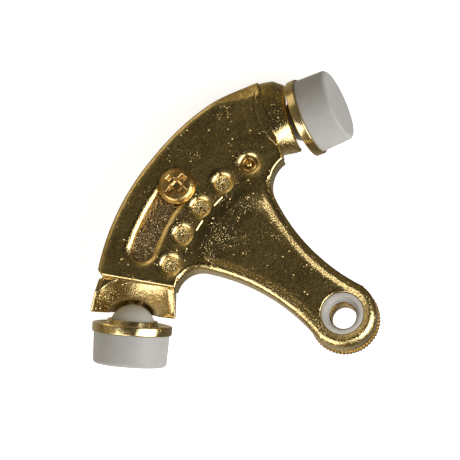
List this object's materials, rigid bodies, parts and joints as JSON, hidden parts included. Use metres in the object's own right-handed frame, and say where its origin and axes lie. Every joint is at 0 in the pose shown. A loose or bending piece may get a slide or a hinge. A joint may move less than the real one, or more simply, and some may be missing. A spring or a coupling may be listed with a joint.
{
  "type": "hinge pin door stop",
  "caption": "Adjustable door stop that hangs on a hinge pin: an arc casting with a sliding, screw-clamped arm, each ending in a swivelling bumper.",
  "frame": {"origin": "on the pin bore's axis, at the underside of the knurled collar that rests on the hinge knuckle", "axes": "+Z along the hinge pin towards the screw-head side; the fixed bumper is at +Y and the adjustable one at -X"},
  "size_m": [0.0918, 0.0959, 0.0282],
  "materials": {
    "gold_casting": "polished brass plating on a zinc die casting",
    "gold_screw": "brass plated steel, warm",
    "gold_collar": "bright turned brass, knurled rim",
    "gold_cup": "pale polished brass, pressed sheet",
    "zinc_steel": "zinc plated steel",
    "white_nylon": "moulded nylon, satin",
    "white_pad": "white moulded soft plastic, satin"
  },
  "bodies": {
    "body": {"body_casting": "gold_casting", "guide_pin": "gold_screw", "swivel_stud_fixed": "zinc_steel"},
    "arm": {"adjusting_arm": "gold_casting", "lock_washer": "zinc_steel", "clamp_nut": "zinc_steel", "swivel_stud_moving": "zinc_steel"},
    "screw": {"clamp_screw": "gold_screw"},
    "pivot": {"knurled_collar": "gold_collar", "eye_bushing": "white_nylon"},
    "ball_fixed": {"swivel_ball_fixed": "white_nylon"},
    "bumper_fixed": {"bumper_cup_fixed": "gold_cup", "bumper_pad_fixed": "white_pad"},
    "ball_moving": {"swivel_ball_moving": "white_nylon"},
    "bumper_moving": {"bumper_cup_moving": "gold_cup", "bumper_pad_moving": "white_pad"}
  },
  "joints": [
    {"name": "arm_adjust", "type": "hinge", "parent": "body", "child": "arm", "pos_m": [0, 0, 0], "axis": [0, 0, 1], "range_deg": [0, 20]},
    {"name": "screw_turn", "type": "hinge", "parent": "arm", "child": "screw", "pos_m": [-0.05213, 0.04161, 0.014], "axis": [0, 0, 1], "continuous": true},
    {"name": "pivot_turn", "type": "hinge", "parent": "body", "child": "pivot", "pos_m": [0, 0, 0], "axis": [0, 0, 1], "continuous": true},
    {"name": "fixed_swing", "type": "hinge", "parent": "body", "child": "ball_fixed", "pos_m": [-0.01242, 0.06513, 0.0032], "axis": [0, 0, 1], "range_deg": [-12, 0]},
    {"name": "fixed_nod", "type": "hinge", "parent": "ball_fixed", "child": "bumper_fixed", "pos_m": [-0.01242, 0.06513, 0.0032], "axis": [-0.3256, 0.9455, 0], "range_deg": [0, 25]},
    {"name": "moving_swing", "type": "hinge", "parent": "arm", "child": "ball_moving", "pos_m": [-0.0676, -0.0013, 0.0032], "axis": [0, 0, 1], "range_deg": [-6, 4]},
    {"name": "moving_nod", "type": "hinge", "parent": "ball_moving", "child": "bumper_moving", "pos_m": [-0.0676, -0.0013, 0.0032], "axis": [0.9945, -0.1045, 0], "range_deg": [-24, 0]}
  ]
}
